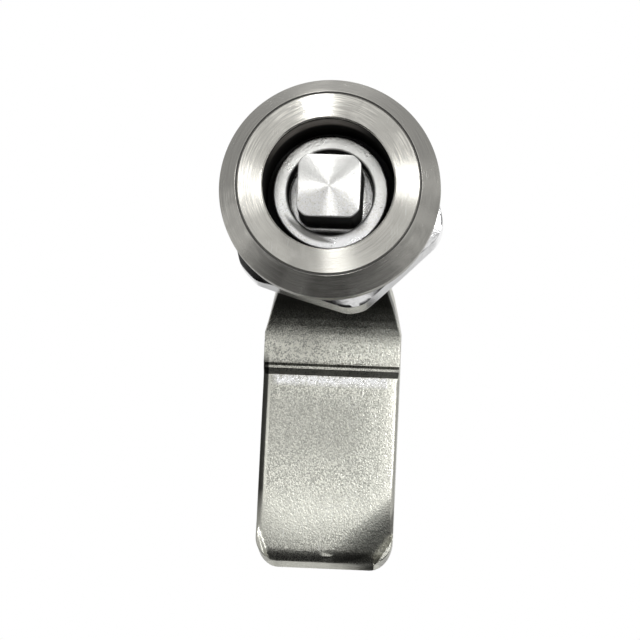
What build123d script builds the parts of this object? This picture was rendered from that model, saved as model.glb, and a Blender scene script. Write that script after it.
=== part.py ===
from build123d import *
import os
from math import cos, radians, sin, tan

# Quarter-turn cam lock for sheet metal doors, with a square key drive.
#
# Frame, in millimetres: the lock turns about the Y axis. The head is outside the
# door and faces -Y, the barrel goes through the door towards +Y, and +Z is up.
# The origin is on the axis, in the plane of the door's outer face, which is the
# back of the seal. At rest the lock is closed and its cam hangs down, along -Z.

# Barrel, a coarse fixing thread with two flats that stop it turning in the door
barrel_diameter = 22.0
barrel_flat_depth = 1.0
barrel_length = 18.0
barrel_end_chamfer = 0.8

# Head, with a wide turned bevel, and the seal under it
head_overhang = 3.0
head_bevel_width = 2.25
head_height = 5.5
head_land = 1.6
head_edge_break = 0.15
seal_thickness = 1.0
seal_width = 1.8
seal_bore_clearance = 0.2

# Hex nut that clamps the door, its corners turned off
nut_wall = 2.2
nut_corner_height = 1.4
nut_thickness = 6.0
nut_edge_chamfer = 0.4
nut_bore_chamfer = 0.5
nut_thread_clearance = 0.05
door_thickness = 2.2
nut_turn = -75.2

# Square drive for the key, the ring round it, and the key space round both
drive_square = 8.0
drive_corner_diameter = 9.9
drive_recess = 1.5
drive_edge_break = 0.25
ring_clearance = 0.5
ring_wall = 1.85
ring_depth = 6.6
ring_edge_radius = 0.45
ring_bore_chamfer = 0.3
key_space_width = 1.0
key_bore_edge = 0.2
cup_depth = 10.0

# Rotor shaft in the housing
flange_thickness = 2.15
flange_clearance = 0.08
flange_axial_play = 0.05
journal_diameter = 12.4
journal_clearance = 0.05
tail_square = 8.0
tail_corner_diameter = 10.0
tail_screw_gap = 0.2

# Square-cut seal ring round the rotor shaft
seal_ring_section = 1.5
seal_ring_corner = 0.25
seal_ring_position = 9.5
seal_groove_width = 2.0
seal_groove_clearance = 0.02

# Stop disc in the end of the barrel: its notch turns about a lug
quarter_turn = 90.0
stop_pocket_depth = 2.3
stop_lug_width = 40.0
stop_lug_height = 1.3
stop_lug_step = 0.35
stop_lug_direction = 90.0
stop_disc_clearance = 0.3
stop_angle_clearance = 1.5
stop_disc_proud = 0.3
square_hole_clearance = 0.05

# Cam, a cranked plate
cam_thickness = 3.0
cam_width = 18.0
cam_length = 45.5
cam_crank = 5.0
cam_crank_angle = 45.0
cam_crank_start = 8.6
cam_bend_inner_radius = 2.0
cam_toe_radius = 5.0
cam_shelf = 4.9
cam_joggle = 0.9
cam_joggle_angle = 45.0
cam_joggle_radius = 2.8
cam_joggle_back_radius = 3.0
cam_neck_width = 14.0
cam_neck_radius = 1.5
cam_flare_start = 0.8
cam_flare_length = 8.0
cam_corner_radius = 3.0
cam_nose_height = 2.3
cam_nose_depth = 0.9
cam_tip_slant = 0.7
cam_edge_radius = 0.45

# Screw and washers that hold the cam
screw_diameter = 6.0
screw_length = 12.0
screw_head_across_flats = 10.0
screw_head_height = 4.0
screw_head_chamfer = 0.5
screw_clearance = 0.05
tapped_hole_extra = 1.5
washer_play = 0.2
washer_width = 2.8
washer_thickness = 1.6
spring_washer_play = 0.1
spring_washer_width = 2.4
spring_washer_thickness = 1.6
spring_washer_split = 0.8
spring_washer_split_slant = 25.0

# Radii from the axis, worked out from the inside to the outside
ring_bore_radius = drive_corner_diameter / 2 + ring_clearance
ring_radius = ring_bore_radius + ring_wall
key_bore_radius = ring_radius + key_space_width
flange_radius = key_bore_radius - flange_clearance
journal_radius = journal_diameter / 2
bearing_radius = journal_radius + journal_clearance
groove_radius = journal_radius - seal_ring_section - seal_groove_clearance
stop_lug_radius = bearing_radius + stop_lug_step
stop_pocket_radius = stop_lug_radius + stop_lug_height
barrel_radius = barrel_diameter / 2
head_radius = barrel_radius + head_overhang
face_radius = head_radius - head_bevel_width
seal_bore_radius = barrel_radius + seal_bore_clearance
nut_bore_radius = barrel_radius + nut_thread_clearance
nut_flat_radius = barrel_radius + nut_wall
screw_radius = screw_diameter / 2 - screw_clearance
washer_bore_radius = screw_diameter / 2 + washer_play
spring_washer_bore_radius = screw_diameter / 2 + spring_washer_play
spring_washer_radius = spring_washer_bore_radius + spring_washer_width

# Places along the axis, from the head to the screw
head_back_y = -seal_thickness
face_y = head_back_y - head_height
land_front_y = head_back_y - head_land
drive_top_y = face_y + drive_recess
ring_face_y = face_y + ring_depth
cup_floor_y = face_y + cup_depth
flange_back_y = cup_floor_y + flange_thickness
flange_seat_y = flange_back_y + flange_axial_play
groove_front_y = seal_ring_position - seal_groove_width / 2
groove_back_y = seal_ring_position + seal_groove_width / 2
stop_floor_y = barrel_length - stop_pocket_depth
cam_seat_y = barrel_length + stop_disc_proud
journal_end_y = stop_floor_y + flange_axial_play
cam_back_y = cam_seat_y + cam_thickness
tail_end_y = cam_back_y - tail_screw_gap
washer_back_y = cam_back_y + washer_thickness
screw_seat_y = washer_back_y + spring_washer_thickness
screw_tip_y = screw_seat_y - screw_length
tapped_hole_floor_y = screw_tip_y - tapped_hole_extra

# The axis that the rotor turns about: positive angles lift the cam towards +X
turn_axis = Axis((0, 0, 0), (0, -1, 0))


def front_plane(y):
    """A plane across the axis at y, seen from the head: local x is X, local y is Z."""
    return Plane.XZ.offset(-y)


def radial_plane(angle):
    """A plane through the axis, its local x outwards at the angle from X towards Z, its local y along Y."""
    outward = Vector(cos(radians(angle)), 0, sin(radians(angle)))
    across = Vector(-sin(radians(angle)), 0, cos(radians(angle)))
    return Plane(origin=(0, 0, 0), x_dir=outward, z_dir=across)


def tail_outline(clearance=0.0):
    """Draws the square tail in the open sketch, or the hole for it where there is a clearance."""
    side = tail_square + 2 * clearance
    Rectangle(side, side)
    Circle(tail_corner_diameter / 2 + clearance, mode=Mode.INTERSECT)


def save(part, name):
    """Labels a finished piece and writes it under the same name."""
    part.label = name
    export_step(part, f"parts/{name}.step")


os.makedirs("parts", exist_ok=True)


# Housing: head, barrel, key space, shaft bearing and the pocket for the stop
with BuildPart() as housing:
    with BuildSketch(Plane.XY):
        with BuildLine():
            Polyline(
                (key_bore_radius, face_y),
                (face_radius, face_y),
                (head_radius, land_front_y),
                (head_radius, head_back_y),
                (barrel_radius, head_back_y),
                (barrel_radius, barrel_length - barrel_end_chamfer),
                (barrel_radius - barrel_end_chamfer, barrel_length),
                (stop_pocket_radius, barrel_length),
                (stop_pocket_radius, stop_floor_y),
                (bearing_radius, stop_floor_y),
                (bearing_radius, flange_seat_y),
                (key_bore_radius, flange_seat_y),
                close=True,
            )
        make_face()
    revolve(axis=Axis.Y)
    # the head's turned edges are broken, and the key space has a small lead-in
    turned_edges = housing.edges().filter_by(GeomType.CIRCLE)
    mouth_edge = turned_edges.group_by(Axis.Y)[0].sort_by(SortBy.RADIUS)[0]
    face_edge = turned_edges.group_by(Axis.Y)[0].sort_by(SortBy.RADIUS)[-1]
    land_edges = turned_edges.group_by(SortBy.RADIUS)[-1]
    chamfer(mouth_edge, key_bore_edge)
    chamfer([face_edge] + land_edges, head_edge_break)
    # two flats on the barrel
    with BuildSketch(front_plane(head_back_y)):
        Rectangle(2 * head_radius, 2 * head_radius)
        Rectangle(2 * (barrel_radius - barrel_flat_depth), 2 * head_radius, mode=Mode.SUBTRACT)
    extrude(amount=-(barrel_length - head_back_y), mode=Mode.SUBTRACT)
    # the lug that the stop disc turns against
    with BuildSketch(radial_plane(stop_lug_direction - stop_lug_width / 2)):
        with BuildLine():
            Polyline(
                (stop_lug_radius, stop_floor_y),
                (stop_pocket_radius + stop_lug_height / 2, stop_floor_y),
                (stop_pocket_radius + stop_lug_height / 2, barrel_length),
                (stop_lug_radius, barrel_length),
                close=True,
            )
        make_face()
    revolve(axis=turn_axis, revolution_arc=stop_lug_width)
save(housing.part, "housing")


# Seal between the head and the door
with BuildPart() as head_seal:
    with BuildSketch(front_plane(head_back_y)):
        Circle(seal_bore_radius + seal_width)
        Circle(seal_bore_radius, mode=Mode.SUBTRACT)
    extrude(amount=-seal_thickness)
save(head_seal.part, "head_seal")


# Mounting nut behind the door
nut_front_y = door_thickness

with BuildPart() as mounting_nut:
    with BuildSketch(front_plane(nut_front_y)):
        RegularPolygon(nut_flat_radius, 6, major_radius=False, rotation=nut_turn)
        Circle(nut_flat_radius + nut_corner_height, mode=Mode.INTERSECT)
    extrude(amount=-nut_thickness)
    front_rim = mounting_nut.faces().sort_by(Axis.Y)[0].outer_wire().edges()
    back_rim = mounting_nut.faces().sort_by(Axis.Y)[-1].outer_wire().edges()
    chamfer(front_rim + back_rim, nut_edge_chamfer)
    with BuildSketch(front_plane(nut_front_y)):
        Circle(nut_bore_radius)
    extrude(amount=-nut_thickness, mode=Mode.SUBTRACT)
    bore_edges = mounting_nut.edges().filter_by(GeomType.CIRCLE).group_by(SortBy.RADIUS)[0]
    chamfer(bore_edges, nut_bore_chamfer)
save(mounting_nut.part, "mounting_nut")


# Rotor: square drive in a cup, flange, bearing shaft and square tail
with BuildPart() as rotor:
    with BuildSketch(Plane.XY):
        with BuildLine():
            Polyline(
                (0, cup_floor_y),
                (ring_bore_radius, cup_floor_y),
                (ring_bore_radius, ring_face_y),
                (ring_radius, ring_face_y),
                (ring_radius, cup_floor_y),
                (flange_radius, cup_floor_y),
                (flange_radius, flange_back_y),
                (journal_radius, flange_back_y),
                (journal_radius, groove_front_y),
                (groove_radius, groove_front_y),
                (groove_radius, groove_back_y),
                (journal_radius, groove_back_y),
                (journal_radius, journal_end_y),
                (0, journal_end_y),
                close=True,
            )
        make_face()
    revolve(axis=Axis.Y)
    ring_rims = rotor.edges().filter_by(GeomType.CIRCLE).group_by(Axis.Y)[0].sort_by(SortBy.RADIUS)
    chamfer(ring_rims[0], ring_bore_chamfer)
    fillet(ring_rims[-1], ring_edge_radius)
    # square drive for the key
    with BuildSketch(front_plane(cup_floor_y)):
        Rectangle(drive_square, drive_square)
        Circle(drive_corner_diameter / 2, mode=Mode.INTERSECT)
    extrude(amount=cup_floor_y - drive_top_y)
    chamfer(rotor.faces().sort_by(Axis.Y)[0].edges(), drive_edge_break)
    # square tail for the stop disc and the cam
    with BuildSketch(front_plane(journal_end_y)):
        tail_outline()
    extrude(amount=-(tail_end_y - journal_end_y))
    # tapped hole for the cam screw
    with BuildSketch(front_plane(tail_end_y)):
        Circle(screw_diameter / 2)
    extrude(amount=tail_end_y - tapped_hole_floor_y, mode=Mode.SUBTRACT)
save(rotor.part, "rotor")


# Seal ring in the rotor's groove
with BuildPart() as rotor_seal_ring:
    with BuildSketch(Plane.XY) as ring_section:
        with Locations((journal_radius - seal_ring_section / 2, seal_ring_position)):
            Rectangle(seal_ring_section, seal_ring_section)
        chamfer(ring_section.vertices(), seal_ring_corner)
    revolve(axis=Axis.Y)
save(rotor_seal_ring.part, "rotor_seal_ring")


# Stop disc: the notch leaves room for the lug and a quarter turn
stop_disc_radius = stop_pocket_radius - stop_disc_clearance
stop_notch_radius = stop_lug_radius - stop_disc_clearance
notch_end = stop_lug_direction + stop_lug_width / 2 + stop_angle_clearance
notch_start = stop_lug_direction - stop_lug_width / 2 - stop_angle_clearance - quarter_turn

with BuildPart() as stop_disc:
    with BuildSketch(front_plane(journal_end_y)):
        Circle(stop_disc_radius)
    extrude(amount=-(cam_seat_y - journal_end_y))
    with BuildSketch(front_plane(journal_end_y)):
        tail_outline(square_hole_clearance)
    extrude(amount=-(cam_seat_y - journal_end_y), mode=Mode.SUBTRACT)
    with BuildSketch(radial_plane(notch_start)):
        with BuildLine():
            Polyline(
                (stop_notch_radius, journal_end_y),
                (stop_pocket_radius, journal_end_y),
                (stop_pocket_radius, cam_seat_y),
                (stop_notch_radius, cam_seat_y),
                close=True,
            )
        make_face()
    revolve(axis=turn_axis, revolution_arc=notch_end - notch_start, mode=Mode.SUBTRACT)
save(stop_disc.part, "stop_disc")


# Cam: a strip cranked away from the door, with a joggle above the pad
crank_rise = cam_crank / tan(radians(cam_crank_angle))
shelf_y = cam_seat_y + cam_crank
pad_y = shelf_y + cam_joggle
crank_start_z = -cam_crank_start
crank_end_z = crank_start_z - crank_rise
joggle_z = crank_end_z - cam_shelf
pad_top_z = joggle_z - cam_joggle / tan(radians(cam_joggle_angle))
tip_z = -cam_length
eye_radius = cam_width / 2
# the rear face of a bend lies further along by this much
bend_shift = cam_thickness * tan(radians(cam_crank_angle / 2))
joggle_shift = cam_thickness * tan(radians(cam_joggle_angle / 2))
bend_outer_radius = cam_bend_inner_radius + cam_thickness
toe_back_radius = cam_toe_radius + cam_thickness
flare_end = cam_flare_start + cam_flare_length
# the neck starts where the front face begins to bend
neck_cut_depth = cam_crank_start - bend_outer_radius * tan(radians(cam_crank_angle / 2))
crank_plane = Plane(
    origin=(0, cam_seat_y, crank_start_z),
    x_dir=(1, 0, 0),
    z_dir=(0, -cos(radians(cam_crank_angle)), -sin(radians(cam_crank_angle))),
)

front_points = (
    (cam_seat_y, eye_radius),
    (cam_seat_y, crank_start_z),
    (shelf_y, crank_end_z),
    (shelf_y, joggle_z),
    (pad_y, pad_top_z),
    (pad_y, tip_z + cam_tip_slant + cam_nose_height),
)
back_points = (
    (pad_y + cam_thickness, tip_z),
    (pad_y + cam_thickness, pad_top_z + joggle_shift),
    (shelf_y + cam_thickness, joggle_z + joggle_shift),
    (shelf_y + cam_thickness, crank_end_z + bend_shift),
    (cam_back_y, crank_start_z + bend_shift),
    (cam_back_y, eye_radius),
)


def on_pad_flank(edge):
    """Whether an edge runs down a side of the pad's front, between the joggle and the end of the nose."""
    box = edge.bounding_box()
    middle = box.center()
    beside = min(abs(box.min.X), abs(box.max.X)) > cam_width / 2 - cam_corner_radius / 2
    in_front = middle.Y < pad_y + cam_nose_depth and box.size.Y < cam_thickness / 2
    below_joggle = tip_z < middle.Z < joggle_z
    return beside and in_front and below_joggle and box.size.Z > cam_edge_radius


# tool that cuts the sides of the crank square to its slope, from the neck to the full width
with BuildPart() as flare_cut:
    with BuildSketch(crank_plane):
        with BuildLine():
            Polyline(
                (cam_neck_width / 2, cam_crank_start),
                (cam_neck_width / 2, -cam_flare_start),
                (cam_width / 2, -flare_end),
                (cam_width, -flare_end),
                (cam_width, cam_crank_start),
                close=True,
            )
        make_face()
        mirror(about=Plane.YZ)
    extrude(amount=2 * cam_thickness, both=True)
    split(bisect_by=Plane.XY.offset(-neck_cut_depth), keep=Keep.BOTTOM)

with BuildPart() as cam:
    # side view of the plate
    with BuildSketch(Plane.YZ):
        with BuildLine():
            front = FilletPolyline(
                *front_points,
                radius=(bend_outer_radius, cam_toe_radius, 0, cam_joggle_radius),
            )
            nose = TangentArc(
                front @ 1,
                (pad_y + cam_nose_depth, tip_z + cam_tip_slant),
                tangent=front % 1,
            )
            Line(nose @ 1, back_points[0])
            back = FilletPolyline(
                *back_points,
                radius=(cam_joggle_back_radius, 0, toe_back_radius, cam_bend_inner_radius),
            )
            Line(back @ 1, front @ 0)
        make_face()
    extrude(amount=cam_width / 2, both=True)
    # blanked outline: a round eye about the pivot, with the neck under it
    with BuildSketch(front_plane(cam_seat_y)) as eye_outline:
        with Locations((0, eye_radius - neck_cut_depth)):
            Rectangle(2 * cam_width, 2 * eye_radius)
        Circle(eye_radius, mode=Mode.SUBTRACT)
        with Locations((0, -neck_cut_depth)):
            Rectangle(cam_neck_width, neck_cut_depth, align=(Align.CENTER, Align.MIN), mode=Mode.SUBTRACT)
        fillet(eye_outline.vertices().group_by(Axis.Y)[1], cam_neck_radius)
    extrude(amount=-cam_thickness, mode=Mode.SUBTRACT)
    add(flare_cut.part, mode=Mode.SUBTRACT)
    # rounded corners at the tip
    with BuildSketch(front_plane(pad_y)):
        with Locations((0, tip_z)):
            Rectangle(cam_width, cam_corner_radius, align=(Align.CENTER, Align.MIN))
        with Locations((0, tip_z + cam_corner_radius)):
            Rectangle(cam_width - 2 * cam_corner_radius, 2 * cam_corner_radius, mode=Mode.SUBTRACT)
        corner_x = cam_width / 2 - cam_corner_radius
        with Locations((corner_x, tip_z + cam_corner_radius), (-corner_x, tip_z + cam_corner_radius)):
            Circle(cam_corner_radius, mode=Mode.SUBTRACT)
    extrude(amount=cam_thickness, both=True, mode=Mode.SUBTRACT)
    # the pad's front edges are rounded, from the joggle down to the corners
    fillet(cam.edges().filter_by(on_pad_flank), cam_edge_radius)
    # square hole for the rotor's tail
    with BuildSketch(front_plane(cam_seat_y)):
        tail_outline(square_hole_clearance)
    extrude(amount=-cam_thickness, mode=Mode.SUBTRACT)
save(cam.part, "cam")


# Flat washer on the cam
with BuildPart() as cam_washer:
    with BuildSketch(front_plane(cam_back_y)):
        Circle(washer_bore_radius + washer_width)
        Circle(washer_bore_radius, mode=Mode.SUBTRACT)
    extrude(amount=-washer_thickness)
save(cam_washer.part, "cam_washer")


# Spring washer, split on a slant
with BuildPart() as spring_washer:
    with BuildSketch(front_plane(washer_back_y)):
        Circle(spring_washer_radius)
        Circle(spring_washer_bore_radius, mode=Mode.SUBTRACT)
    extrude(amount=-spring_washer_thickness)
    split_middle = Plane(
        origin=(0, washer_back_y + spring_washer_thickness / 2, 0),
        x_dir=(0, cos(radians(spring_washer_split_slant)), sin(radians(spring_washer_split_slant))),
        z_dir=(1, 0, 0),
    )
    with BuildSketch(split_middle):
        Rectangle(2 * spring_washer_thickness, spring_washer_split)
    extrude(amount=spring_washer_radius, mode=Mode.SUBTRACT)
save(spring_washer.part, "spring_washer")


# Hex screw that holds the cam on the rotor's tail
with BuildPart() as cam_screw:
    with BuildSketch(front_plane(screw_seat_y)):
        RegularPolygon(screw_head_across_flats / 2, 6, major_radius=False)
    extrude(amount=-screw_head_height)
    # the head's corners are turned off at its outer end
    head_corner_radius = screw_head_across_flats / 2 / cos(radians(30))
    with BuildSketch(Plane.XY):
        with BuildLine():
            Polyline(
                (0, screw_seat_y),
                (head_corner_radius, screw_seat_y),
                (head_corner_radius, screw_seat_y + screw_head_height - screw_head_chamfer),
                (screw_head_across_flats / 2, screw_seat_y + screw_head_height),
                (0, screw_seat_y + screw_head_height),
                close=True,
            )
        make_face()
    revolve(axis=Axis.Y, mode=Mode.INTERSECT)
    with BuildSketch(front_plane(screw_seat_y)):
        Circle(screw_radius)
    extrude(amount=screw_length)
    chamfer(cam_screw.faces().sort_by(Axis.Y)[0].edges(), screw_head_chamfer)
save(cam_screw.part, "cam_screw")
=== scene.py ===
import math

import bmesh
import bpy
import numpy as np
from bpy.props import FloatProperty, FloatVectorProperty, IntProperty, PointerProperty
from bpy.types import Operator, Panel, PropertyGroup
from mathutils import Matrix, Vector


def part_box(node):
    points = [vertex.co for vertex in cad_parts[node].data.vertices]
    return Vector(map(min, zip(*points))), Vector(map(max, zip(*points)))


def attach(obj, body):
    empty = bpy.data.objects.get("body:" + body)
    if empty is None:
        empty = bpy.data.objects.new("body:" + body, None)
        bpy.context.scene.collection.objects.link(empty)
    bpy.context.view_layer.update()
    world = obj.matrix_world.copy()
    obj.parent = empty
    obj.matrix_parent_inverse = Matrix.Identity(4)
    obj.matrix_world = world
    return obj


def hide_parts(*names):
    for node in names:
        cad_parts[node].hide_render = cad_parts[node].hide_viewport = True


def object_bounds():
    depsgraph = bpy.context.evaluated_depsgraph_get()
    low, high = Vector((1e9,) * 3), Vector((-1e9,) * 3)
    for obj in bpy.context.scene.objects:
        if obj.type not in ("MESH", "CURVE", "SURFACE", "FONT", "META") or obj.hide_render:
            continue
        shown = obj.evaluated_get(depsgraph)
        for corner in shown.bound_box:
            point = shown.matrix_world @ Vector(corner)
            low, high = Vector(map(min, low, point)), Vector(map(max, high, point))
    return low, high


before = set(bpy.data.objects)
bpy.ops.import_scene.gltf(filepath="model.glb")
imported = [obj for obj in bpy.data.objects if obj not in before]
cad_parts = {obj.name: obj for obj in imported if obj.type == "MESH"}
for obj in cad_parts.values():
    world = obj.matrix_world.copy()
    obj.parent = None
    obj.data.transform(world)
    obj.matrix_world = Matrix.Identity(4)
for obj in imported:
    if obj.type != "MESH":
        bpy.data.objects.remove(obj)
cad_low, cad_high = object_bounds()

bl_info = {
    "name": "Cam Lock",
    "version": (1, 0, 0),
    "blender": (4, 5, 0),
    "location": "3D View > Sidebar > Cam Lock",
    "description": "Builds a quarter-turn cam lock round its packed frame, with finishes and a small studio",
    "category": "Object",
}

# The lock turns about Y, its head faces -Y and its cam hangs along -Z. Lengths are in metres.
MM = 0.001
HOUSING_BODY = "lock_housing"
ROTOR_BODY = "lock_rotor"
WELD = 2e-7
NODE_WELD = 2e-6
SHARP_ANGLE = math.radians(33)
BEVEL_ANGLE = math.radians(40)
TINY = 1e-6
PICTURE_PIXELS = 640.0
# shared node groups and finishes, made when they are first used
GROUPS = {}
FINISHES = {}


def length(name, size_mm, description):
    """A length property whose default is given in millimetres."""
    return FloatProperty(name=name, description=description, default=size_mm * MM, unit="LENGTH", precision=5)


def angle(name, degrees, description):
    """An angle property whose default is given in degrees."""
    turn = math.radians(degrees)
    return FloatProperty(name=name, description=description, default=turn, unit="ROTATION", subtype="ANGLE")


def share(name, value, description, highest=1.0):
    """A plain factor from 0 to the highest."""
    return FloatProperty(name=name, description=description, default=value, min=0.0, max=highest)


def measure(name, value, description):
    """A number with no unit of its own."""
    return FloatProperty(name=name, description=description, default=value)


def colour(name, value, description):
    """A linear colour."""
    return FloatVectorProperty(
        name=name, description=description, default=value, size=3, subtype="COLOR", min=0.0, max=1.0
    )


class LockSizes(PropertyGroup):
    """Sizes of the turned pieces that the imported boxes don't give."""

    steps: IntProperty(name="Steps", description="Steps round each turned piece", default=240, min=48)
    key_bore: length("Key space radius", 8.3, "Radius of the round key space in the head")
    face: length("Face radius", 11.75, "Radius of the head's flat face")
    land: length("Land", 1.6, "Height of the straight rim at the back of the head")
    edge: length("Edge break", 0.14, "How far the turned edges are broken")
    dish: length("Face dish", 0.015, "How much lower the face's outer edge is than its inner one")
    rim_outer: length("Rim groove outer side", 0.24, "Width of the outer side of the fine groove in the face")
    rim_inner: length("Rim groove inner side", 0.12, "Width of the inner side of the fine groove in the face")
    rim_depth: length("Rim groove depth", 0.2, "Depth of the fine groove in the face")
    mouth: length("Mouth", 0.2, "Chamfer where the key space opens")
    flat: length("Barrel flat", 10.0, "Distance of the barrel's flats from the axis")
    pitch: length("Thread pitch", 1.5, "Pitch of the barrel's thread")
    crest: length("Thread crest", 10.95, "Outer radius of the barrel's thread")
    root: length("Thread root", 10.08, "Inner radius of the barrel's thread")
    barrel_end: length("Barrel end radius", 10.2, "Radius of the barrel's chamfered end")
    bearing: length("Bearing radius", 6.25, "Radius of the bore that the rotor turns in")
    pocket: length("Pocket radius", 7.9, "Radius of the pocket for the stop disc")
    pocket_depth: length("Pocket depth", 2.3, "Depth of the pocket for the stop disc")
    lug: length("Lug radius", 6.6, "Inner radius of the stop lug")
    lug_width: angle("Lug width", 40, "Angle that the stop lug takes up")
    flange_seat: length("Flange seat", 5.7, "Place of the shoulder that the rotor's flange rests on")
    nut_flat: length("Nut flat", 13.2, "Distance of the nut's flats from the axis")
    nut_corner: length("Nut corner", 14.6, "Radius of the nut's turned corners")
    nut_turn: angle("Nut turn", -75.2, "Direction of one corner of the nut")
    nut_cone: length("Nut cone", 13.15, "Radius where the nut's turned cone starts")
    nut_cone_depth: length("Nut cone depth", 1.0, "Depth of the nut's turned cone")
    nut_cone_slope: angle("Nut cone slope", 38, "Slope of the nut's turned cone")
    nut_worn_slope: angle("Nut worn slope", 11, "Slope of the cone at the two flatter corners")
    thread_gap: length("Thread gap", 0.05, "Gap between the two threads")
    drive: length("Drive half width", 4.0, "Half the width of the square drive")
    drive_corner: length("Drive corner", 4.95, "Radius of the drive's turned corners")
    drive_top: length("Drive top", -5.0, "Place of the drive's end along the axis")
    drive_edge: length("Drive edge", 0.22, "How far the drive's edges are rounded")
    cup_floor: length("Cup floor", 3.5, "Place of the floor round the drive")
    ring_inner: length("Ring bore", 5.45, "Inner radius of the rotor's ring")
    ring_outer: length("Ring radius", 7.3, "Outer radius of the rotor's ring")
    ring_face: length("Ring face", 0.1, "Place of the ring's face along the axis")
    ring_edge: length("Ring edge", 0.22, "How far the ring's outer edge is rounded")
    flange: length("Flange radius", 8.22, "Radius of the rotor's flange")
    flange_back: length("Flange back", 5.65, "Place of the flange's back along the axis")
    journal: length("Journal radius", 6.2, "Radius of the rotor's shaft")
    journal_end: length("Journal end", 15.75, "Place of the shaft's end along the axis")
    tail: length("Tail half width", 4.0, "Half the width of the rotor's square tail")
    tail_corner: length("Tail corner", 5.0, "Radius of the tail's turned corners")
    tapped_hole: length("Tapped hole", 3.0, "Radius of the hole for the cam screw")
    screw_flat: length("Screw flat", 5.0, "Distance of the screw head's flats from the axis")
    screw_height: length("Screw head", 4.0, "Height of the screw's head")
    shank: length("Shank radius", 2.95, "Radius of the screw's shank")


class CamSizes(PropertyGroup):
    """Sizes of the cam's plate that its packed box doesn't give."""

    thickness: length("Thickness", 3.0, "Thickness of the plate")
    crank: length("Crank", 5.0, "How far the shelf lies behind the eye")
    crank_start: length("Crank start", 8.6, "Distance of the crank from the axis")
    bend: length("Bend", 2.0, "Inner radius of the crank's first bend")
    toe: length("Toe", 7.5, "Front radius of the crank's second bend")
    shelf: length("Shelf", 4.9, "Length from the crank to the joggle")
    joggle: length("Joggle", 0.9, "How far the pad lies behind the shelf")
    joggle_radius: length("Joggle radius", 2.8, "Front radius where the joggle meets the pad")
    burr: length("Burr", 0.04, "Height of the burr at the top of the joggle")
    foot: length("Foot", 0.03, "How much less deep than the pad the foot of the joggle is")
    drop: length("Drop", 0.34, "How far below the joggle of the CAD solid the front of the step is")
    nose_height: length("Nose height", 2.3, "Height of the rounded nose at the tip")
    slant: length("Tip slant", 0.7, "How much higher the tip ends in front than behind")
    neck: length("Neck", 7.0, "Half width of the neck")
    flare_start: length("Flare start", 0.8, "Distance down the crank where it starts to widen")
    flare: length("Flare", 8.0, "Length of the widening")
    corner: length("Corner", 3.0, "Radius of the tip's corners")
    hole: length("Hole half width", 4.05, "Half the width of the square hole")
    hole_corner: length("Hole corner", 5.05, "Radius of the hole's corners from the axis")
    edge: length("Edge", 0.14, "Rounding of the plate's edges")
    pad_edge: length("Pad edge", 0.5, "Rounding of the pad's front edges")


class LockFinishes(PropertyGroup):
    """Colours and roughness of the metals and the rubber."""

    turned: colour("Turned steel", (0.69, 0.675, 0.625), "Colour of the turned head and barrel")
    # the key space's painted shade, and its lighter colour where light is painted near the mouth and high up
    grease: colour("Grease", (0.012, 0.011, 0.01), "Colour of the old grease in the key space")
    thin_grease: colour("Thin grease", (0.6, 0.55, 0.5), "Colour where the grease is thin")
    polished: colour("Polished steel", (0.88, 0.88, 0.88), "Colour of the nut")
    tumbled: colour("Tumbled steel", (1.0, 0.99, 0.94), "Colour of the rotor")
    cam: colour("Cam steel", (0.62, 0.617, 0.555), "Colour of the cam")
    plated: colour("Plated steel", (0.64, 0.65, 0.66), "Colour of the screw and washer")
    spring: colour("Spring steel", (0.30, 0.30, 0.31), "Colour of the spring washer")
    rubber: colour("Rubber", (0.025, 0.025, 0.027), "Colour of the seals")
    turned_roughness: share("Turned roughness", 0.23, "Roughness of the turned faces")
    polished_roughness: share("Polished roughness", 0.13, "Roughness of the nut")
    tumbled_roughness: share("Tumbled roughness", 0.26, "Roughness of the rotor")
    cam_roughness: share("Cam roughness", 0.3, "Roughness of the cam")
    plated_roughness: share("Plated roughness", 0.28, "Roughness of the screw and washer")
    spring_roughness: share("Spring roughness", 0.36, "Roughness of the spring washer")
    rubber_roughness: share("Rubber roughness", 0.55, "Roughness of the seals")
    turned_stretch: share("Turned stretch", 1.0, "How far the turned faces stretch a reflection")


class StudioSettings(PropertyGroup):
    """Camera, floor and lights."""

    camera_azimuth: angle("Camera azimuth", 3.0, "Angle of the camera to the right of the lock's axis")
    camera_elevation: angle("Camera elevation", -10.5, "Angle of the camera above the lock's axis")
    camera_roll: angle("Camera roll", 2.7, "Turn of the camera about its own axis")
    camera_distance: length("Camera distance", 475, "Distance of the camera from the head's face")
    scale: measure("Scale", 8000.0, "Picture pixels per metre at the head's face")
    face_x: measure("Face across", 328.3, "Face centre from the left, in pixels")
    face_y: measure("Face down", 183.0, "Face centre from the top, in pixels")
    floor: length("Floor", -120, "Height of the floor")
    backdrop: share("Backdrop", 1.0, "Brightness of the white backdrop")


def lathe_angles(steps, *keys):
    """Angles round the axis in radians: even steps, and the given ones."""
    even = np.linspace(0.0, 2 * np.pi, steps, endpoint=False)
    return np.unique(np.round(np.concatenate([even, np.asarray(keys, float) % (2 * np.pi)]), 7))


def round_points(radius, y, angles):
    """Points from rows of radii and of places along the axis."""
    return np.stack([radius * np.cos(angles), y, radius * np.sin(angles)], axis=2).reshape(-1, 3).tolist()


def quads(rows, count, shift=0):
    """Faces between rows of so many points. Each row closes on the start of the row so many rows further."""
    faces = []
    last = (rows - 1) * count
    for here in range(last):
        after = here + 1 if (here + 1) % count else (here // count + shift) * count
        if after < last:
            faces.append((here, after, after + count, here + count))
    return faces


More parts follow.
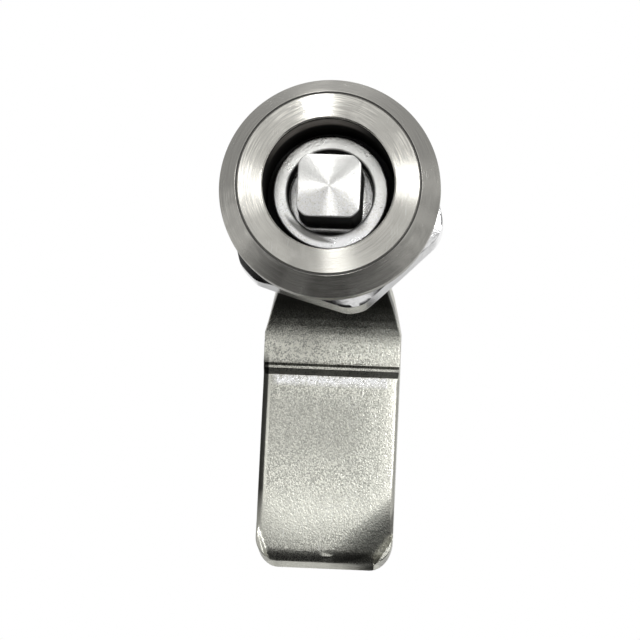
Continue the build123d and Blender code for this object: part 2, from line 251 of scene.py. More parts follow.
def turned_skin(corners, angles, steps=5):
    """A skin round the axis. A corner is (radius, y, rounding), and its radius may follow the angle."""
    widest = 0.45
    points = [np.column_stack(np.broadcast_arrays(radius, y, angles)[:2]) for radius, y, _ in corners]
    rows = []
    for i, (point, (_, _, rounding)) in enumerate(zip(points, corners)):
        if not rounding:
            rows.append(point)
            continue
        before, after = points[i - 1] - point, points[i + 1] - point
        run_before = np.linalg.norm(before, axis=1, keepdims=True)
        run_after = np.linalg.norm(after, axis=1, keepdims=True)
        reach = np.minimum(rounding, widest * np.minimum(run_before, run_after))
        start = point + before / run_before * reach
        end = point + after / run_after * reach
        for u in np.linspace(0.0, 1.0, steps):
            rows.append((1 - u) ** 2 * start + 2 * u * (1 - u) * point + u * u * end)
    radius, y = np.moveaxis(np.array(rows), 2, 0)
    return round_points(radius, y, angles), quads(len(rows), len(angles))


def thread_skin(size, gap, angles, origin, start, end, trim, end_radii):
    """A helical thread from start to end along Y, a gap wider than the barrel's; trim cuts it."""
    crest, root, pitch, soft = size.crest + gap, size.root + gap, size.pitch, 0.05 * MM
    # share of a pitch and radius, with the crest and the root a little rounded
    profile = (
        (0.00, root + soft),
        (0.06, root),
        (0.19, root),
        (0.25, root + soft),
        (0.545, crest - soft),
        (0.580, crest),
        (0.670, crest),
        (0.705, crest - soft),
    )
    turns = range(int((start - origin) / pitch) - 2, int((end - origin) / pitch) + 2)
    heights = np.array([origin + pitch * (turn + part) for turn in turns for part, _ in profile])
    radii = np.array([radius for _ in turns for _, radius in profile])
    y = heights[:, None] + pitch * angles[None, :] / (2 * np.pi)
    radius = np.repeat(radii[:, None], len(angles), axis=1)
    radius = np.where(y <= start, end_radii[0], np.where(y >= end, end_radii[1], radius))
    y = np.clip(y, start, end)
    radius = trim(radius, y, angles[None, :])
    return round_points(radius, y, angles), quads(len(heights), len(angles), len(profile))


def shade(mesh):
    """Smooth shading, with sharp edges where the faces meet at more than the sharp angle."""
    bm = bmesh.new()
    bm.from_mesh(mesh)
    for face in bm.faces:
        face.smooth = True
    for edge in bm.edges:
        edge.smooth = not (len(edge.link_faces) == 2 and edge.calc_face_angle(0.0) > SHARP_ANGLE)
    bm.to_mesh(mesh)
    bm.free()


def finished(bm, name):
    """The mesh of a welded bmesh with its faces turned outwards."""
    bmesh.ops.remove_doubles(bm, verts=bm.verts, dist=WELD)
    bmesh.ops.dissolve_degenerate(bm, edges=bm.edges, dist=WELD)
    loose = [v for v in bm.verts if not v.link_faces]
    bmesh.ops.delete(bm, geom=loose, context="VERTS")
    bmesh.ops.recalc_face_normals(bm, faces=bm.faces)
    mesh = bpy.data.meshes.new(name)
    bm.to_mesh(mesh)
    bm.free()
    return mesh


def mesh_piece(name, patches, body, slot, *nodes):
    """A piece made of patches welded together, which stands for the given nodes."""
    bm = bmesh.new()
    for vertices, faces in patches:
        made = [bm.verts.new(v) for v in vertices]
        for face in faces:
            bm.faces.new([made[i] for i in face])
    return add_piece(name, finished(bm, name), body, slot, *nodes)


def add_piece(name, mesh, body, slot, *nodes):
    """Puts a finished mesh in the scene on its body, in place of its nodes."""
    shade(mesh)
    piece = bpy.data.objects.new(name, mesh)
    bpy.context.scene.collection.objects.link(piece)
    mesh.materials.append(finishes()[slot])
    weighted = piece.modifiers.new("weighted normals", "WEIGHTED_NORMAL")
    weighted.keep_sharp = True
    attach(piece, body)
    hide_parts(*nodes)
    return piece


def second_finish(piece, slot, chosen):
    """Gives another finish to the faces whose centre is chosen."""
    piece.data.materials.append(finishes()[slot])
    for polygon in piece.data.polygons:
        if chosen(*polygon.center):
            polygon.material_index = 1


def dress_node(node, rounding, slot):
    """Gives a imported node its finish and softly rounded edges."""
    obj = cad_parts[node]
    obj.data.materials.clear()
    obj.data.materials.append(finishes()[slot])
    weld = obj.modifiers.new("weld", "WELD")
    weld.merge_threshold = NODE_WELD
    bevel = obj.modifiers.new("rounded edges", "BEVEL")
    bevel.width = rounding
    bevel.segments = 3
    bevel.limit_method = "ANGLE"
    bevel.angle_limit = BEVEL_ANGLE
    weighted = obj.modifiers.new("weighted normals", "WEIGHTED_NORMAL")
    weighted.keep_sharp = False
    for polygon in obj.data.polygons:
        polygon.use_smooth = True


def squared(half, corner, angles, soft=0.12 * MM):
    """Radius of a square outline whose corners are turned off, with soft meetings."""
    flat = half / np.maximum(np.abs(np.cos(angles)), np.abs(np.sin(angles)))
    return soft_least(flat, corner, soft)


def hexagon(flat, corner, angles, turn, soft):
    """Radius of a hexagon with a corner in the direction of turn, its corners turned off."""
    within = (angles - turn) % (np.pi / 3) - np.pi / 6
    return soft_least(flat / np.cos(within), corner, soft)


def soft_least(a, b, soft):
    """The lesser of two radii, with a soft change from one to the other."""
    return -soft * np.logaddexp(-np.asarray(a) / soft, -np.asarray(b) / soft)


def new_group(name, **inputs):
    """A shader node group, and its named inputs as sockets."""
    group = bpy.data.node_groups.new(name, "ShaderNodeTree")
    for label, default in inputs.items():
        socket = group.interface.new_socket(label, in_out="INPUT", socket_type="NodeSocketFloat")
        socket.default_value = default
    return group, group.nodes.new("NodeGroupInput").outputs


def ended(group, **outputs):
    """The node group with its named outputs."""
    for label in outputs:
        group.interface.new_socket(label, in_out="OUTPUT", socket_type="NodeSocketFloat")
    result = group.nodes.new("NodeGroupOutput").inputs
    for label, socket in outputs.items():
        group.links.new(socket, result[label])
    return group


def feed(tree, value, socket):
    """Links a socket to another one, or sets it to a number."""
    if isinstance(value, bpy.types.NodeSocket):
        tree.links.new(value, socket)
    else:
        socket.default_value = value


def calc(tree, operation, first, second=None, clamp=False):
    """A math node fed with sockets or numbers; returns its result."""
    node = tree.nodes.new("ShaderNodeMath")
    node.operation = operation
    node.use_clamp = clamp
    for socket, value in zip(node.inputs, (first, second)):
        if value is not None:
            feed(tree, value, socket)
    return node.outputs[0]


def product(tree, first, *others):
    """The product of some sockets and numbers, kept between 0 and 1."""
    for other in others:
        first = calc(tree, "MULTIPLY", first, other, clamp=True)
    return first


def blend(tree, *parts):
    """The sum of some sockets, each times its own share."""
    shares = [calc(tree, "MULTIPLY", socket, part) for socket, part in parts]
    total = shares[0]
    for other in shares[1:]:
        total = calc(tree, "ADD", total, other)
    return total


def ranged(tree, value, low, high, to_low=0.0, to_high=1.0):
    """The value mapped smoothly from one range to another."""
    node = tree.nodes.new("ShaderNodeMapRange")
    node.interpolation_type = "SMOOTHSTEP"
    labels = ("Value", "From Min", "From Max", "To Min", "To Max")
    for label, number in zip(labels, (value, low, high, to_low, to_high)):
        feed(tree, number, node.inputs[label])
    return node.outputs["Result"]


def mixed(tree, factor, first, second):
    """The first colour drawn towards the second; each is a socket or a colour."""
    mix = tree.nodes.new("ShaderNodeMix")
    mix.data_type = "RGBA"
    for label, value in (("Factor", factor), ("A", first), ("B", second)):
        feed(tree, value, mix.inputs[label])
    return mix.outputs["Result"]


def object_place(tree):
    """The surface point in the lock's own frame, in metres."""
    return tree.nodes.new("ShaderNodeTexCoord").outputs["Object"]


def split_place(tree, place=None):
    """The x, y and z of a place, or of the surface point."""
    split = tree.nodes.new("ShaderNodeSeparateXYZ")
    tree.links.new(place or object_place(tree), split.inputs[0])
    return split.outputs


def distance(tree, first, second):
    """The distance that two sockets at right angles give."""
    squares = [calc(tree, "POWER", side, 2.0) for side in (first, second)]
    return calc(tree, "SQRT", calc(tree, "ADD", *squares))


def noise(tree, place, scale, detail, distortion=0.0):
    """Noise with so many cells to the metre, from 0 to 1."""
    node = tree.nodes.new("ShaderNodeTexNoise")
    for label, value in zip(("Vector", "Scale", "Detail", "Distortion"), (place, scale, detail, distortion)):
        feed(tree, value, node.inputs[label])
    return node.outputs["Fac"]


def round_place(tree, along, across):
    """The surface point as distance from the axis and direction round it, each times its own factor."""
    depth_share, nearest = 0.7, 1e-5
    x, y, z = split_place(tree)
    radius = distance(tree, x, z)
    safe = calc(tree, "MAXIMUM", radius, nearest)
    joined = tree.nodes.new("ShaderNodeCombineXYZ")
    out = calc(tree, "ADD", radius, calc(tree, "MULTIPLY", y, depth_share))
    tree.links.new(calc(tree, "MULTIPLY", out, across), joined.inputs["X"])
    for part, label in ((x, "Y"), (z, "Z")):
        tree.links.new(calc(tree, "MULTIPLY", calc(tree, "DIVIDE", part, safe), along), joined.inputs[label])
    return joined.outputs[0]


def turning_marks():
    """Fine rings left by the tool, as a height, and streaks along them and broad patches, as masks."""
    group, given = new_group("turning marks", Rings=6000.0)
    rings = noise(group, round_place(group, 1.2, given["Rings"]), 1.0, 2.0)
    broad = noise(group, round_place(group, 0.8, 1500.0), 1.0, 3.0)
    streaks = noise(group, round_place(group, 3.0, 8000.0), 1.0, 3.0)
    patches = noise(group, object_place(group), 220.0, 4.0, 0.8)
    return ended(
        group,
        Height=blend(group, (rings, 0.4), (broad, 0.6)),
        Streaks=ranged(group, streaks, 0.35, 0.65),
        Patches=ranged(group, patches, 0.45, 0.7),
    )


def ring_zone():
    """What lies between two places along the axis and two distances from it, as a soft mask."""
    group, given = new_group("ring zone", Start=0.0, End=1.0, Inner=0.0, Outer=1.0, Softness=0.3 * MM)
    x, y, z = split_place(group)
    radius = distance(group, x, z)
    limits = ((y, "Start", 1.0), (y, "End", -1.0), (radius, "Inner", 1.0), (radius, "Outer", -1.0))
    steps = []
    for value, limit, way in limits:
        past = calc(group, "MULTIPLY", calc(group, "SUBTRACT", value, given[limit]), way)
        steps.append(calc(group, "DIVIDE", past, given["Softness"], clamp=True))
    return ended(group, Mask=product(group, *steps))


def one_side():
    """Everything to one side of a plane, as a mask that starts at the plane and is whole a little past it."""
    group, given = new_group("one side", Across=0.0, Behind=0.0, Up=0.0, Start=0.0, Softness=0.3 * MM)
    reach = blend(group, *zip(split_place(group), (given["Across"], given["Behind"], given["Up"])))
    past = calc(group, "SUBTRACT", reach, given["Start"])
    return ended(group, Mask=calc(group, "DIVIDE", past, given["Softness"], clamp=True))


def tumbled_grain():
    """The pebbled skin that tumbling leaves: its height, how light each grain is, and sparse dark pits."""
    group, given = new_group("tumbled grain", Grains=3600.0)
    place = object_place(group)
    layers = []
    for finer, detail, distortion in ((1.0, 3.0, 0.4), (0.35, 2.0, 0.2), (1.6, 2.0, 0.3), (0.8, 2.0, 0.3)):
        scale = calc(group, "MULTIPLY", given["Grains"], finer)
        layers.append(noise(group, place, scale, detail, distortion))
    fine, coarse, specks, pits = layers
    return ended(
        group,
        Height=blend(group, (fine, 0.7), (coarse, 0.3)),
        Grain=ranged(group, blend(group, (specks, 0.88), (coarse, 0.12)), 0.41, 0.6),
        Pits=ranged(group, calc(group, "SUBTRACT", 1.0, pits), 0.62, 0.72),
    )


def fine_scratches():
    """Sparse fine scratches in three directions, as a mask."""
    group, given = new_group("fine scratches", Density=0.5)
    place = object_place(group)
    mask = 0.0
    for tilt, stretch in ((0.6, 14.0), (-0.9, 18.0), (1.9, 16.0)):
        tilted = group.nodes.new("ShaderNodeMapping")
        tilted.inputs["Rotation"].default_value = (0.0, tilt, 0.0)
        tilted.inputs["Scale"].default_value = (1.0, 1.0, 1.0 / stretch)
        group.links.new(place, tilted.inputs["Vector"])
        lines = ranged(group, noise(group, tilted.outputs[0], 5200.0, 1.0, 0.1), 0.70, 0.76)
        mask = calc(group, "MAXIMUM", lines, mask)
    patches = ranged(group, noise(group, place, 240.0, 2.0), 0.45, 0.65)
    return ended(group, Mask=product(group, mask, patches, given["Density"]))


def handling_marks():
    """Soft handling marks that change how shiny a surface is."""
    group, given = new_group("handling marks", Low=0.2, High=0.3)
    cloud = ranged(group, noise(group, object_place(group), 190.0, 4.0, 0.6), 0.35, 0.65)
    risen = calc(group, "MULTIPLY", cloud, calc(group, "SUBTRACT", given["High"], given["Low"]))
    return ended(group, Roughness=calc(group, "ADD", risen, given["Low"]))


def plane(start, softness, across=0.0, behind=0.0, up=0.0):
    """What lies past a plane, for a mask. The start and the softness are in millimetres."""
    return one_side, dict(Start=start * MM, Softness=softness * MM, Across=across, Behind=behind, Up=up)


def above(z, softness):
    """What lies above a height."""
    return plane(z, softness, up=1.0)


def below(z, softness):
    """What lies below a height."""
    return plane(-z, softness, up=-1.0)


def right_of(x, softness):
    """What lies to the right of a place."""
    return plane(x, softness, across=1.0)


def left_of(x, softness):
    """What lies to the left of a place."""
    return plane(-x, softness, across=-1.0)


def ahead_of(y, softness):
    """What lies in front of a place."""
    return plane(-y, softness, behind=-1.0)


def zone(start, end, inner, outer, softness=0.3):
    """A ring-shaped zone, for a mask, in millimetres."""
    labels = ("Start", "End", "Inner", "Outer", "Softness")
    return ring_zone, {label: size * MM for label, size in zip(labels, (start, end, inner, outer, softness))}


def sector(start, end, softness):
    """What lies between two directions, in degrees clockwise from the right seen from outside, for a mask."""
    first, last = math.radians(start), math.radians(end)
    return (
        plane(0.0, softness, across=-math.sin(first), up=-math.cos(first)),
        plane(0.0, softness, across=math.sin(last), up=math.cos(last)),
    )


def times(base, change):
    """A colour made lighter or darker."""
    return tuple(min(1.0, c * change) for c in base)


class Look:
    """A material while it is made, with its node tree and its shader."""

    def __init__(self, name, metallic=1.0):
        self.material = bpy.data.materials.new(name)
        self.material.use_nodes = True
        self.tree = self.material.node_tree
        self.shader = self.tree.nodes["Principled BSDF"]
        self.give(Metallic=metallic)

    def give(self, **values):
        """Sets the shader's sockets, named with _ for a space, or links them."""
        for label, value in values.items():
            feed(self.tree, value, self.shader.inputs[label.replace("_", " ")])

    def put(self, make_group, **values):
        """Puts in a shared node group, made at its first use, and sets its inputs; returns its outputs."""
        if make_group not in GROUPS:
            GROUPS[make_group] = make_group()
        node = self.tree.nodes.new("ShaderNodeGroup")
        node.node_tree = GROUPS[make_group]
        for label, value in values.items():
            node.inputs[label].default_value = value
        return node.outputs

    def mask(self, *parts):
        """The product of sockets, planes, zones and numbers."""
        sockets = []
        for part in parts:
            sockets.append(self.put(part[0], **part[1])["Mask"] if isinstance(part, tuple) else part)
        return product(self.tree, *sockets)

    def either(self, *masks):
        """The strongest of some masks at each point."""
        most = masks[0]
        for other in masks[1:]:
            most = calc(self.tree, "MAXIMUM", most, other)
        return most

    def tint(self, base, *changes, start=1.0):
        """Draws the base colour towards each change in turn: parts of a mask, then a colour or a factor."""
        now = (*times(base, start), 1.0)
        for *parts, target in changes:
            target = times(base, target) if isinstance(target, float) else target
            now = mixed(self.tree, self.mask(*parts), now, (*target, 1.0))
        self.give(Base_Color=now)

    def marks(self, low, high):
        """A roughness that handling marks change."""
        return self.put(handling_marks, Low=low, High=high)["Roughness"]

    def make_dull(self, mask, roughness):
        """Makes the masked part, painted shade, dull and not metallic; gives the shader its roughness."""
        dulling = 0.5
        self.give(
            Metallic=calc(self.tree, "SUBTRACT", 1.0, mask, clamp=True),
            Roughness=calc(self.tree, "ADD", roughness, calc(self.tree, "MULTIPLY", mask, dulling)),
        )

    def turn(self, stretch):
        """Stretches reflections across the rings of a turned face."""
        tangent = self.tree.nodes.new("ShaderNodeTangent")
        tangent.direction_type = "RADIAL"
        tangent.axis = "Y"
        self.give(Tangent=tangent.outputs[0], Anisotropic=stretch, Anisotropic_Rotation=0.25)

    def bump(self, height, deep):
        """Feeds a height, of so many millimetres, into the shader's normal."""
        node = self.tree.nodes.new("ShaderNodeBump")
        node.inputs["Distance"].default_value = deep * MM
        self.tree.links.new(height, node.inputs["Height"])
        self.give(Normal=node.outputs["Normal"])


# colours of painted highlights, of fine scratches (also painted light on the drive's end), of painted light
# on the ring, and of the nut's scratches
PAINTED_HIGHLIGHT = (1.0, 1.0, 1.0)
SCRATCH_AND_LIGHT = (1.0, 1.0, 0.97)
RING_PAINTED_LIGHT = (1.0, 1.0, 0.96)
POLISH_SCRATCH = (0.95, 0.95, 0.93)
# painted highlights and shade of the head's reflections: part of the head, degrees where a sector starts and
# ends, its softness in millimetres, and its change
HEAD_PAINTED_REFLECTIONS = (
    ("face", 308.0, 352.0, 1.5, 1.45),
    ("face", 152.0, 188.0, 1.2, 1.45),
    ("face", 98.0, 144.0, 2.5, 0.8),
    ("bevel", 38.0, 114.0, 2.5, 1.45),
    ("bevel", 112.0, 142.0, 0.7, 0.6),
    ("bevel", 18.0, 44.0, 1.2, 0.6),
    ("bevel", 142.0, 178.0, 1.0, 1.4),
)
# ends of the creases at the two corners of the cam's tip, across and up, in millimetres
CORNER_CREASES = (
    ((-8.6, -40.6), (-6.95, -45.0)),
    ((8.6, -41.2), (6.6, -44.6)),
)


def turned_steel(finish):
    """Steel as the lathe leaves it, with painted light on the upper left of the face and painted shade low on
    it, painted reflections in sectors of the face and bevel, and painted shade, dull and not metallic, in the
    fine groove of the face.
    """
    look = Look("turned")
    marks = look.put(turning_marks, Rings=6000.0)
    scratches = look.put(fine_scratches, Density=0.45)["Mask"]
    # the fine groove of the face, painted dark as its shade
    groove = look.mask(zone(-9.0, 9.0, 11.48, 11.74, 0.05))
    face = look.mask(zone(-9.0, -6.2, 8.0, 12.0))
    on = {"face": face, "bevel": look.mask(zone(-6.6, -2.2, 11.8, 15.0, 0.1))}
    # painted light on the face's upper left, painted shade on its lower half, then the painted reflections in
    # sectors
    look.tint(
        finish.turned,
        (face, plane(0.0, 9.0, up=0.85, across=-0.6), 1.45),
        (face, below(0.0, 10.0), 0.92),
        *((on[part], *sector(start, end, soft), change) for part, start, end, soft, change in HEAD_PAINTED_REFLECTIONS),
        (marks["Streaks"], 0.8, 0.78),
        (marks["Patches"], 0.95),
        (scratches, SCRATCH_AND_LIGHT),
        (groove, 0.06),
    )
    low = finish.turned_roughness
    scratched = calc(look.tree, "MULTIPLY", scratches, 0.15)
    look.make_dull(groove, calc(look.tree, "ADD", look.marks(low - 0.03, low + 0.04), scratched))
    look.turn(finish.turned_stretch)
    look.bump(marks["Height"], 0.012)
    return look.material


def grease(finish):
    """Dark, dull coat on the key space's wall as painted shade of the recess, with painted light near the
    mouth and high up.
    """
    look = Look("grease", metallic=0.0)
    marks = look.put(turning_marks, Rings=2500.0)
    # painted light near the mouth and on the upper side, over the painted shade
    thin = (zone(-6.1, -1.5, 0.0, 9.0, 1.2), plane(5.0, 3.2, up=1.0, across=-0.3))
    look.tint(finish.grease, (*thin, finish.thin_grease), (marks["Streaks"], 0.5, 2.0))
    look.give(Specular_IOR_Level=0.12, Roughness=ranged(look.tree, marks["Height"], 0.0, 1.0, 0.6, 0.9))
    return look.material


def polished_steel(finish):
    """Steel with a bright, slightly scratched polish, with a painted dark reflection on one part of its cone.
    """
    look = Look("polished")
    # a painted dark reflection on the lower left of the front cone
    cone = (plane(12.9, 0.4, across=-0.8, up=-0.6), ahead_of(3.25, 0.15))
    look.tint(finish.polished, (look.put(fine_scratches, Density=0.6)["Mask"], POLISH_SCRATCH), (*cone, 0.12))
    look.give(Roughness=look.marks(finish.polished_roughness, finish.polished_roughness + 0.1))
    look.bump(look.put(tumbled_grain, Grains=2600.0)["Height"], 0.02)
    return look.material


def tumbled_look(name, pits):
    """The start of a pebbled, sparkling steel: its look, its grain and its first changes of colour."""
    look = Look(name)
    grain = look.put(tumbled_grain, Grains=4200.0)
    scratches = look.put(fine_scratches, Density=0.9)["Mask"]
    return look, grain, [(grain["Grain"], 1.55), (scratches, SCRATCH_AND_LIGHT), (grain["Pits"], pits)]


def rotor_steel(name, base, roughness, depth, start, stretch=0.0):
    """Pebbled steel with painted shade, dull and not metallic, round the drive and in the gap, painted light,
    shade and a glint on the ring, and turned, with painted light on the upper part of its end, if it has a
    stretch.
    """
    look, grain, changes = tumbled_look(name, 0.65)
    # painted shade round the drive, in the gap and low in the cup, dull and not metallic
    recess_shade = look.either(
        look.mask(zone(-4.85, 3.4, -1.0, 5.8)),
        look.mask(zone(0.5, 9.0, 7.0, 9.0)),
        look.mask(zone(1.0, 5.0, -1.0, 5.8), below(-4.2, 0.4)),
    )
    ring, inner = look.mask(zone(-0.5, 0.9, 5.2, 7.8)), look.mask(zone(-0.5, 0.9, 5.2, 6.6))
    shade_left = plane(6.2, 0.8, across=-0.82, up=0.57)
    glint_below = plane(5.4, 0.6, across=0.2, up=-0.98)
    shade_below = plane(5.1, 0.6, across=-0.45, up=-0.9)
    # painted light on the ring's upper part, painted shade at its upper left and low inside, and a painted
    # glint below
    changes += [
        (ring, above(-2.0, 4.0), RING_PAINTED_LIGHT),
        (ring, shade_left, 0.72),
        (ring, glint_below, PAINTED_HIGHLIGHT),
        (inner, shade_below, 0.25),
        (recess_shade, 0.03),
    ]
    if stretch:
        # painted light on the upper part of the drive's end
        changes.append((above(-0.5, 2.0), SCRATCH_AND_LIGHT))
        look.turn(stretch)
    look.tint(base, *changes, start=start)
    look.make_dull(recess_shade, look.marks(roughness, roughness + 0.08))
    look.bump(grain["Height"], depth)
    return look.material


def cam_steel(finish):
    """Pebbled steel of the bent cam, with painted shade in the bend, in a hollow of the pad, at its lower
    right corner and down its left side, and painted light on the shelf, low on the pad, on its right side,
    below the step, on its corner facets, along its edges and at the tip.
    """
    look, grain, changes = tumbled_look("tumbled_cam", 0.55)
    grain_strength = 6.0
    uneven = calc(look.tree, "MULTIPLY", calc(look.tree, "SUBTRACT", grain["Height"], 0.5), grain_strength)
    blotches = ranged(look.tree, noise(look.tree, object_place(look.tree), 2900.0, 3.0, 0.5), 0.46, 0.6)
    # where each mark lies, in millimetres, and how strong it is; besides the grain, the marks are painted
    # light and painted shade
    front = look.mask(ahead_of(25.8, 0.4))
    pad = look.mask(ahead_of(25.0, 0.3), below(-17.5, 1.5))
    bend_shade = (plane(-11.8, 0.6, up=-1.0, behind=-1.0), above(-13.6, 2.5))
    shelf = (below(-14.5, 1.5), above(-18.3, 0.3), blotches)
    lit_under_step = (below(-19.4, 0.3), above(-20.5, 0.25), calc(look.tree, "ADD", 0.8, uneven))
    band_place = (below(-20.15, 0.35), above(-21.75, 0.8), right_of(-7.9, 0.8), left_of(7.9, 0.8))
    highlight_band = look.mask(*band_place, calc(look.tree, "ADD", 0.95, uneven), front)
    hollow_shade = (below(-21.5, 3.0), above(-34.0, 5.0), left_of(6.0, 3.0), 0.5)
    cloud = (below(-34.0, 4.0), plane(-42.0, 3.0, up=1.0, across=-0.3), 0.5)
    lit_side = (right_of(4.5, 3.0), 0.35)
    bent_corner_shade = (plane(30.9, 2.6, up=-math.sqrt(0.5), across=math.sqrt(0.5)), 0.75)
    left_edge_glint = left_of(-7.9, 0.1)
    right_edge_glint = right_of(8.5, 0.1)
    left_side_shade = (left_of(-8.22, 0.15), above(-41.5, 6.0))
    tip = below(-44.75, 0.08)
    lit_facets, facet_start, facet_soft = [], 0.03, 0.06
    for (x1, z1), (x2, z2) in CORNER_CREASES:
        way = math.copysign(1.0, x1) / math.hypot(x2 - x1, z2 - z1)
        across, up = (z1 - z2) * way, (x2 - x1) * way
        start = x1 * across + z1 * up + facet_start
        lit_facets.append(look.mask(plane(start, facet_soft, across=across, up=up)))
    # painted light: the shelf in blotches, the pad's lower cloud, its right side, under the step, the
    # highlight band, the edge glints, the facets and the tip; painted shade: the hollow, the bent corner, the
    # bend and the left side
    changes += [
        (front, *shelf, 1.5),
        (front, *hollow_shade, 0.7),
        (front, *cloud, 1.6),
        (front, *lit_side, 1.5),
        (front, *lit_under_step, 1.5),
        (highlight_band, PAINTED_HIGHLIGHT),
        (front, *bent_corner_shade, 0.3),
        (*bend_shade, 0.3),
        (pad, left_edge_glint, 1.35),
        (front, look.either(*lit_facets), 1.2),
        (tip, 1.6),
        (pad, *left_side_shade, 0.12),
        (pad, right_edge_glint, 1.35),
    ]
    look.tint(finish.cam, *changes, start=0.7)
    smoother = calc(look.tree, "MULTIPLY", highlight_band, 0.17)
    marks = look.marks(finish.cam_roughness, finish.cam_roughness + 0.08)
    look.give(Roughness=calc(look.tree, "SUBTRACT", marks, smoother))
    look.bump(grain["Height"], 0.06)
    return look.material


def plain_finish(name, base, roughness, metallic, grains, change, spread, deep):
    """A fastener's plated or dark steel, or matt rubber: grainy, with handling marks."""
    look = Look(name, metallic)
    grain = look.put(tumbled_grain, Grains=grains)
    look.tint(base, (grain["Grain"], change))
    look.give(Roughness=look.marks(roughness, roughness + spread))
    look.bump(grain["Height"], deep)
    return look.material


def finishes():
    """Every finish of the lock by its slot's name, made once."""
    if not FINISHES:
        finish = bpy.context.scene.lock_finishes
        rough = finish.tumbled_roughness
        # metallic, grains to the metre, change of a light grain, spread of roughness and depth of the grain
        plated = (1.0, 2400.0, 1.2, 0.15, 0.015)
        rubber = (0.0, 2800.0, 1.8, 0.2, 0.02)
        FINISHES.update(
            turned_steel=turned_steel(finish),
            polished_steel=polished_steel(finish),
            grease=grease(finish),
            tumbled_steel=rotor_steel("tumbled", finish.tumbled, rough, 0.05, 0.86),
            tumbled_drive=rotor_steel("tumbled_drive", finish.tumbled, rough + 0.12, 0.03, 0.88, 0.9),
            cam_steel=cam_steel(finish),
            plated_steel=plain_finish("plated", finish.plated, finish.plated_roughness, *plated),
            spring_steel=plain_finish("spring", finish.spring, finish.spring_roughness, *plated),
            seal_rubber=plain_finish("rubber", finish.rubber, finish.rubber_roughness, *rubber),
        )
    return FINISHES


class LOCK_OT_housing(Operator):
    """Builds the turned housing with its threaded barrel"""

    bl_idname = "lock.housing"
    bl_label = "Housing"

    def execute(self, context):
        size = context.scene.lock_sizes
        low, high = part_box("housing")
        head_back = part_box("head_seal")[0].y
        lug_side = 0.004
        lug_edges = np.pi / 2 + np.array([-0.5, 0.5]) * size.lug_width
        angles = lathe_angles(size.steps, *lug_edges, *(lug_edges + np.array([-lug_side, lug_side])))
        on_lug = np.abs(angles - np.pi / 2) < (size.lug_width + lug_side) / 2
        pocket = np.where(on_lug, size.lug, size.pocket)
        pocket_floor = high.y - size.pocket_depth
        face_edge = low.y + size.dish
        step, step_start, step_end = 0.08 * MM, low.y + 0.9 * MM, low.y + 1.0 * MM

        def on_flats(radius, around):
            """Cuts a radius with the barrel's two flats."""
            return np.minimum(radius, size.flat / np.maximum(np.abs(np.cos(around)), TINY))

        def trim(radius, y, around):
            """Cuts the thread with the two flats and the chamfer at the barrel's end."""
            return np.minimum(on_flats(radius, around), size.barrel_end + high.y - y)

        corners = [
            (on_flats(size.root, angles), head_back, 0),
            (high.x, head_back, size.edge),
            (high.x, head_back - size.land, size.edge),
            (size.face, face_edge, 0.09 * MM),
            (size.face - size.rim_outer, face_edge + size.rim_depth, 0.02 * MM),
            (size.face - size.rim_outer - size.rim_inner, face_edge, 0.03 * MM),
            (size.key_bore + size.mouth, low.y, 0.04 * MM),
            (size.key_bore, low.y + size.mouth, 0.04 * MM),
            (size.key_bore, step_start, 0.03 * MM),
            (size.key_bore + step, step_end, 0.03 * MM),
            (size.key_bore, size.flange_seat, 0),
            (size.bearing, size.flange_seat, 0),
            (size.bearing, pocket_floor, 0),
            (pocket, pocket_floor, 0),
            (pocket, high.y, size.edge),
            (on_flats(size.barrel_end, angles), high.y, 0),
        ]
        ends = (size.root, size.barrel_end)
        thread = thread_skin(size, 0.0, angles, head_back, head_back, high.y, trim, ends)
        patches = [turned_skin(corners, angles), thread]
        housing = mesh_piece("housing_turned", patches, HOUSING_BODY, "turned_steel", "housing")

        def in_key_space(x, y, z):
            """Whether a point is on the wall of the key space."""
            inside = math.hypot(x, z) < size.key_bore + size.mouth
            return inside and low.y + size.mouth < y < size.flange_seat

        # the key space's wall takes the painted shade
        second_finish(housing, "grease", in_key_space)
        return {"FINISHED"}


class LOCK_OT_nut(Operator):
    """Builds the hex mounting nut with its inner thread"""

    bl_idname = "lock.nut"
    bl_label = "Mounting nut"

    def execute(self, context):
        size = context.scene.lock_sizes
        low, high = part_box("mounting_nut")
        angles = lathe_angles(size.steps, *(size.nut_turn + np.arange(6) * np.pi / 3))
        outline = hexagon(size.nut_flat, size.nut_corner, angles, size.nut_turn, 0.12 * MM)
        mouth = size.crest + 0.6 * MM
        worn, worn_width = 0.0, 0.33
        for corner in (size.nut_turn, size.nut_turn + np.pi / 3):
            away = np.angle(np.exp(1j * (angles - corner)))
            worn = worn + np.exp(-((away / worn_width) ** 2))
        slope = size.nut_cone_slope + (size.nut_worn_slope - size.nut_cone_slope) * np.minimum(worn, 1.0)
        front, rear = [], []
        for drop in np.linspace(0.0, 1.0, 15) * size.nut_cone_depth:
            cone = soft_least(outline, size.nut_cone + drop / np.tan(slope), 0.05 * MM)
            front.append((cone, low.y + drop, 0))
            rear.insert(0, (cone, high.y - drop, 0))
        body = turned_skin([(mouth, low.y, 0), *front, *rear, (mouth, high.y, 0)], angles)

        def trim(radius, y, around):
            """Opens the thread to the mouth's chamfer at both faces."""
            return np.maximum(radius, mouth - np.minimum(y - low.y, high.y - y))

        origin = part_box("head_seal")[0].y
        thread = thread_skin(size, size.thread_gap, angles, origin, low.y, high.y, trim, (mouth, mouth))
        mesh_piece("mounting_nut_polished", [body, thread], HOUSING_BODY, "polished_steel", "mounting_nut")
        return {"FINISHED"}


